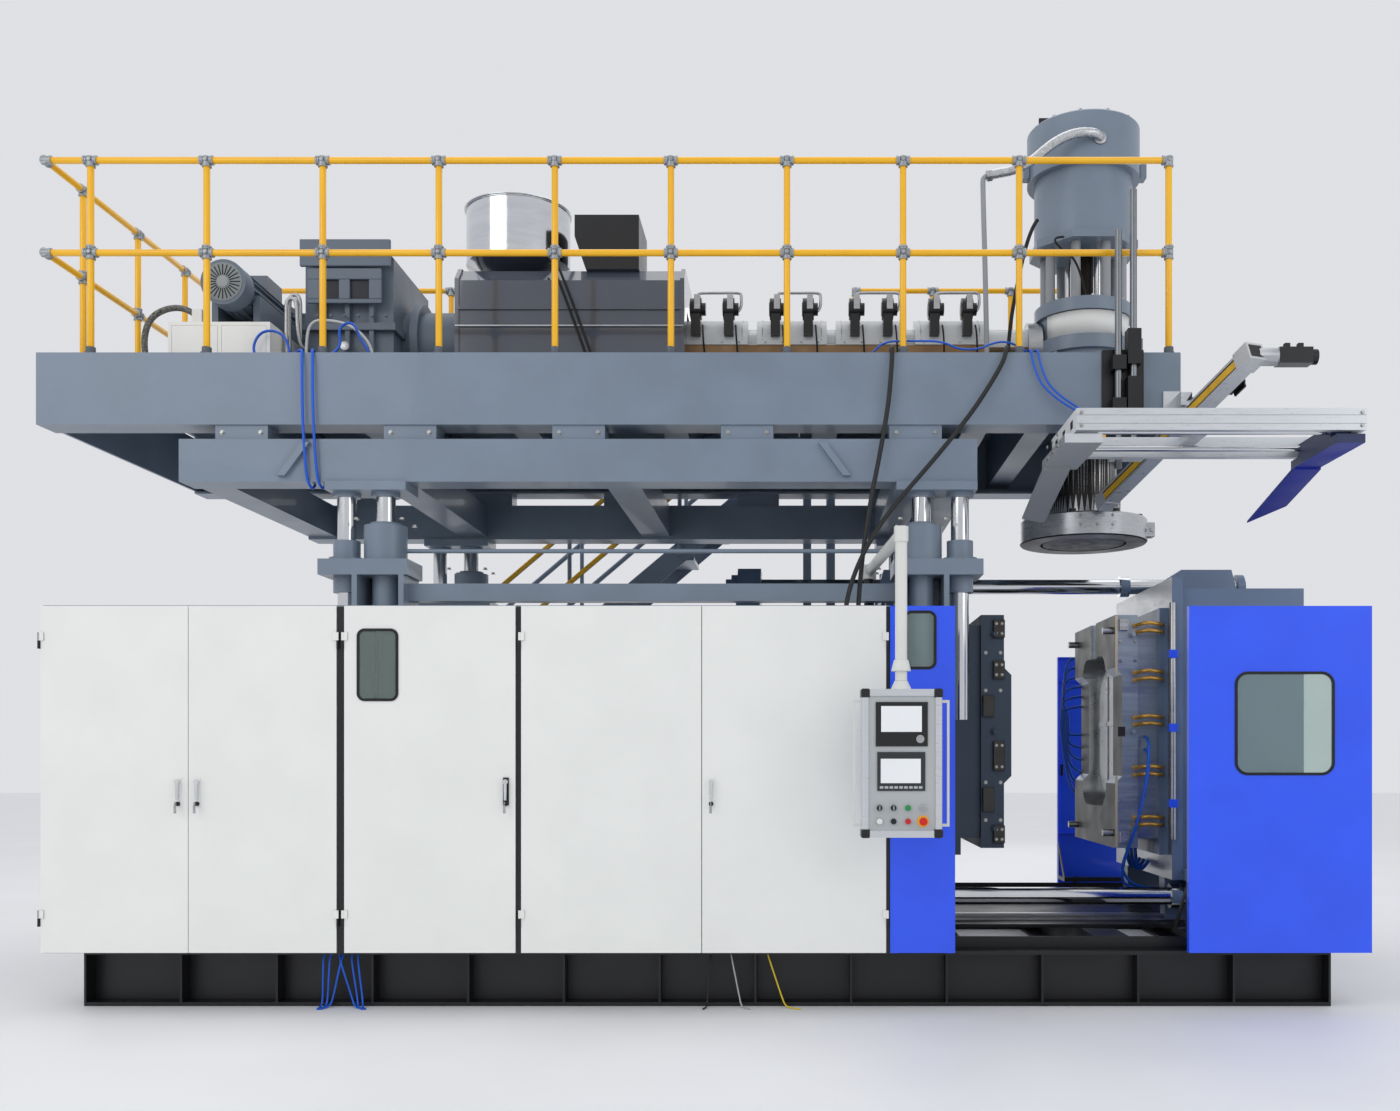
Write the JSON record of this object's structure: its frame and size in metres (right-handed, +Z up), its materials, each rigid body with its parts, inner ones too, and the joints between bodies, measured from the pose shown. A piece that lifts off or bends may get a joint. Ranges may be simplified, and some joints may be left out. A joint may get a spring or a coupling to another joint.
{
  "type": "extrusion blow moulding machine",
  "caption": "Accumulator-head blow moulding machine with clamp, moulds, lifting extruder deck, cabinets and sliding guards.",
  "frame": {"origin": "centre of the base's four anchor holes, in the plane of the feet", "axes": "+X along the machine to the clamp end, +Y to the back, +Z up"},
  "size_m": [7.5139, 3.941, 5.44],
  "materials": {
    "base_frame": "satin black paint",
    "cabinet_frame": "satin dark grey paint",
    "cabinet_panels": "satin off-white paint",
    "power_pack": "blue-grey paint",
    "switchgear": "light grey plastic and zinc",
    "centre_guards": "gloss blue paint",
    "lift_columns": "blue-grey paint",
    "bed_rails": "ground steel",
    "rear_stair": "yellow paint",
    "lift_frame": "blue-grey paint",
    "lift_rods": "hard chrome",
    "deck_frame": "blue-grey paint",
    "guard_rails": "yellow paint",
    "rail_clamps": "galvanised",
    "gearbox": "dark grey paint",
    "drive_motor": "dark grey paint",
    "service_box": "off-white paint",
    "heated_barrel": "grey sheet",
    "barrel_cover": "dark grey paint",
    "hopper": "polished stainless",
    "blowers": "black",
    "head_body": "blue-grey paint",
    "head_top": "blue-grey paint",
    "die_ring": "turned steel",
    "pinch_guide": "black",
    "belt_axis": "anodised",
    "supply_cables": "black",
    "air_hoses": "blue",
    "die_pin": "turned steel",
    "push_rods": "hard chrome",
    "belt_carriage": "anodised",
    "door_1": "satin off-white paint",
    "door_2": "satin off-white paint",
    "door_3": "satin off-white paint",
    "door_4": "satin off-white paint",
    "door_5": "satin off-white paint",
    "handle_1": "black",
    "handle_2": "black",
    "handle_3": "black",
    "handle_5": "black",
    "front_gate": "gloss blue paint",
    "rear_gate": "gloss blue paint",
    "right_platen": "blue-grey paint",
    "right_mould": "machined",
    "tie_bars": "hard chrome",
    "left_platen": "blue-grey paint",
    "left_mould": "machined",
    "hmi_arm": "off-white paint",
    "hmi_box": "brushed",
    "selector_1": "black",
    "selector_2": "black",
    "push_green": "green",
    "key_switch": "metal",
    "push_white": "white",
    "push_black": "black",
    "push_red": "red",
    "emergency_stop": "red",
    "pinch_frame": "anodised",
    "left_jaw": "sheet",
    "right_jaw": "deep blue paint"
  },
  "bodies": {
    "base": {"base_frame": "base_frame", "cabinet_frame": "cabinet_frame", "cabinet_panels": "cabinet_panels", "power_pack": "power_pack", "switchgear": "switchgear", "centre_guards": "centre_guards", "lift_columns": "lift_columns", "bed_rails": "bed_rails", "rear_stair": "rear_stair"},
    "lifting_frame": {"lift_frame": "lift_frame", "lift_rods": "lift_rods"},
    "deck": {"deck_frame": "deck_frame", "guard_rails": "guard_rails", "rail_clamps": "rail_clamps", "gearbox": "gearbox", "drive_motor": "drive_motor", "service_box": "service_box", "heated_barrel": "heated_barrel", "barrel_cover": "barrel_cover", "hopper": "hopper", "blowers": "blowers", "head_body": "head_body", "head_top": "head_top", "die_ring": "die_ring", "pinch_guide": "pinch_guide", "belt_axis": "belt_axis", "supply_cables": "supply_cables", "air_hoses": "air_hoses"},
    "die_pin": {"die_pin": "die_pin"},
    "push_rods": {"push_rods": "push_rods"},
    "belt_carriage": {"belt_carriage": "belt_carriage"},
    "door_1": {"door_1": "door_1"},
    "door_2": {"door_2": "door_2"},
    "door_3": {"door_3": "door_3"},
    "door_4": {"door_4": "door_4"},
    "door_5": {"door_5": "door_5"},
    "handle_1": {"handle_1": "handle_1"},
    "handle_2": {"handle_2": "handle_2"},
    "handle_3": {"handle_3": "handle_3"},
    "handle_5": {"handle_5": "handle_5"},
    "front_gate": {"front_gate": "front_gate"},
    "rear_gate": {"rear_gate": "rear_gate"},
    "right_platen": {"right_platen": "right_platen", "right_mould": "right_mould", "tie_bars": "tie_bars"},
    "left_platen": {"left_platen": "left_platen", "left_mould": "left_mould"},
    "hmi_arm": {"hmi_arm": "hmi_arm"},
    "hmi_box": {"hmi_box": "hmi_box"},
    "selector_1": {"selector_1": "selector_1"},
    "selector_2": {"selector_2": "selector_2"},
    "push_green": {"push_green": "push_green"},
    "key_switch": {"key_switch": "key_switch"},
    "push_white": {"push_white": "push_white"},
    "push_black": {"push_black": "push_black"},
    "push_red": {"push_red": "push_red"},
    "emergency_stop": {"emergency_stop": "emergency_stop"},
    "pinch_frame": {"pinch_frame": "pinch_frame"},
    "left_jaw": {"left_jaw": "left_jaw"},
    "right_jaw": {"right_jaw": "right_jaw"}
  },
  "joints": [
    {"name": "lift_slide", "type": "slide", "parent": "base", "child": "lifting_frame", "axis": [0, 0, 1], "range_m": [-0.08, 0.3], "deforming": ["supply_cables"]},
    {"name": "deck_slide", "type": "slide", "parent": "lifting_frame", "child": "deck", "axis": [1, 0, 0], "range_m": [-0.27, 0]},
    {"name": "die_pin_slide", "type": "slide", "parent": "deck", "child": "die_pin", "axis": [0, 0, 1], "range_m": [-0.03, 0]},
    {"name": "push_rod_slide", "type": "slide", "parent": "deck", "child": "push_rods", "axis": [0, 0, 1], "range_m": [-0.25, 0]},
    {"name": "belt_slide", "type": "slide", "parent": "deck", "child": "belt_carriage", "axis": [-0.3402, 0.8627, -0.3741], "range_m": [-0.05, 0.92]},
    {"name": "door_1_hinge", "type": "hinge", "parent": "base", "child": "door_1", "pos_m": [-3.469, -1.744, 1.2], "axis": [0, 0, -1], "range_deg": [0, 90]},
    {"name": "handle_1_turn", "type": "hinge", "parent": "door_1", "child": "handle_1", "pos_m": [-2.743, -1.74, 1.185], "axis": [0, 1, 0], "range_deg": [0, 90]},
    {"name": "door_2_hinge", "type": "hinge", "parent": "base", "child": "door_2", "pos_m": [-1.915, -1.744, 1.2], "axis": [0, 0, 1], "range_deg": [0, 80]},
    {"name": "handle_2_turn", "type": "hinge", "parent": "door_2", "child": "handle_2", "pos_m": [-2.643, -1.74, 1.185], "axis": [0, -1, 0], "range_deg": [0, 90]},
    {"name": "door_3_hinge", "type": "hinge", "parent": "base", "child": "door_3", "pos_m": [-1.89, -1.744, 1.2], "axis": [0, 0, -1], "range_deg": [0, 80]},
    {"name": "handle_3_turn", "type": "hinge", "parent": "door_3", "child": "handle_3", "pos_m": [-1.04, -1.74, 1.185], "axis": [0, 1, 0], "range_deg": [0, 90]},
    {"name": "door_4_hinge", "type": "hinge", "parent": "base", "child": "door_4", "pos_m": [-0.97, -1.744, 1.2], "axis": [0, 0, -1], "range_deg": [0, 90]},
    {"name": "door_5_hinge", "type": "hinge", "parent": "base", "child": "door_5", "pos_m": [0.944, -1.744, 1.2], "axis": [0, 0, 1], "range_deg": [0, 45]},
    {"name": "handle_5_turn", "type": "hinge", "parent": "door_5", "child": "handle_5", "pos_m": [0.027, -1.74, 1.185], "axis": [0, -1, 0], "range_deg": [0, 90]},
    {"name": "front_gate_slide", "type": "slide", "parent": "base", "child": "front_gate", "axis": [1, 0, 0], "range_m": [-1.2, 0]},
    {"name": "rear_gate_slide", "type": "slide", "parent": "base", "child": "rear_gate", "axis": [1, 0, 0], "range_m": [-1.2, 0]},
    {"name": "right_platen_slide", "type": "slide", "parent": "base", "child": "right_platen", "axis": [1, 0, 0], "range_m": [-0.335, 0]},
    {"name": "left_platen_slide", "type": "slide", "parent": "base", "child": "left_platen", "axis": [1, 0, 0], "range_m": [0, 0.335]},
    {"name": "hmi_arm_swing", "type": "hinge", "parent": "base", "child": "hmi_arm", "pos_m": [0.9, -0.76, 2.42], "axis": [0, 0, 1], "range_deg": [-12, 6]},
    {"name": "hmi_box_swivel", "type": "hinge", "parent": "hmi_arm", "child": "hmi_box", "pos_m": [0.99, -2.05, 1.69], "axis": [0, 0, 1], "range_deg": [-45, 45]},
    {"name": "selector_1_turn", "type": "hinge", "parent": "hmi_box", "child": "selector_1", "pos_m": [0.879, -2.104, 1.063], "axis": [0, 1, 0], "range_deg": [-45, 45]},
    {"name": "selector_2_turn", "type": "hinge", "parent": "hmi_box", "child": "selector_2", "pos_m": [0.948, -2.104, 1.063], "axis": [0, 1, 0], "range_deg": [-45, 45]},
    {"name": "push_green_press", "type": "slide", "parent": "hmi_box", "child": "push_green", "axis": [0, 1, 0], "range_m": [0, 0.004], "stiffness_N_per_m": 300},
    {"name": "key_switch_turn", "type": "hinge", "parent": "hmi_box", "child": "key_switch", "pos_m": [1.093, -2.104, 1.063], "axis": [0, 1, 0], "range_deg": [0, 90]},
    {"name": "push_white_press", "type": "slide", "parent": "hmi_box", "child": "push_white", "axis": [0, 1, 0], "range_m": [0, 0.004], "stiffness_N_per_m": 300},
    {"name": "push_black_press", "type": "slide", "parent": "hmi_box", "child": "push_black", "axis": [0, 1, 0], "range_m": [0, 0.004], "stiffness_N_per_m": 300},
    {"name": "push_red_press", "type": "slide", "parent": "hmi_box", "child": "push_red", "axis": [0, 1, 0], "range_m": [0, 0.004], "stiffness_N_per_m": 300},
    {"name": "emergency_stop_press", "type": "slide", "parent": "hmi_box", "child": "emergency_stop", "axis": [0, 1, 0], "range_m": [0, 0.004]},
    {"name": "pinch_lift", "type": "slide", "parent": "deck", "child": "pinch_frame", "axis": [0, 0, 1], "range_m": [-0.25, 0], "deforming": ["air_hoses"]},
    {"name": "right_jaw_slide", "type": "slide", "parent": "pinch_frame", "child": "right_jaw", "axis": [1, 0, 0], "range_m": [-0.6, 0]},
    {"name": "left_jaw_slide", "type": "slide", "parent": "pinch_frame", "child": "left_jaw", "axis": [1, 0, 0], "range_m": [0, 0.6]}
  ],
  "couplings": [
    {"joint": "left_platen_slide", "follows": "right_platen_slide", "ratio": -1},
    {"joint": "left_jaw_slide", "follows": "right_jaw_slide", "ratio": -1}
  ]
}
